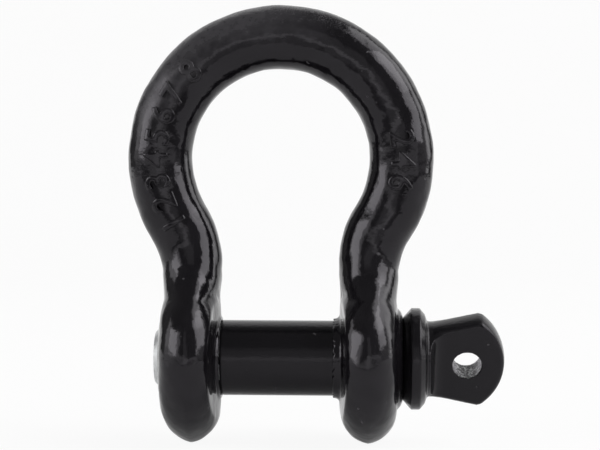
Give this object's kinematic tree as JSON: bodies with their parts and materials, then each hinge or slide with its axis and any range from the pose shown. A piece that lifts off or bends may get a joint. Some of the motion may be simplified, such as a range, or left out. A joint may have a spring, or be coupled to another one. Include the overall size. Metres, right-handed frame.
{
  "type": "bow shackle",
  "caption": "Forged bow shackle: a rounded bow with flattened ears, closed by a removable screw pin with a flattened eye.",
  "frame": {"origin": "on the pin's axis, in the middle of the bow", "axes": "+X along the pin towards its eye, the way the pin is withdrawn; +Z towards the crown of the bow; the bow lies in the XZ plane"},
  "size_m": [0.1093, 0.0496, 0.1272],
  "materials": {
    "black_paint": "gloss black paint over a lumpy forging",
    "pin_paint": "satin black paint over a forged and turned pin",
    "bare_steel": "bare zinc-grey metal"
  },
  "bodies": {
    "bow": {"bow": "black_paint"},
    "screw_pin": {"screw_pin": "pin_paint"}
  },
  "joints": [
    {"name": "pin_withdrawal", "type": "slide", "parent": "bow", "child": "screw_pin", "axis": [1, 0, 0], "range_m": [0, 0.09]}
  ]
}
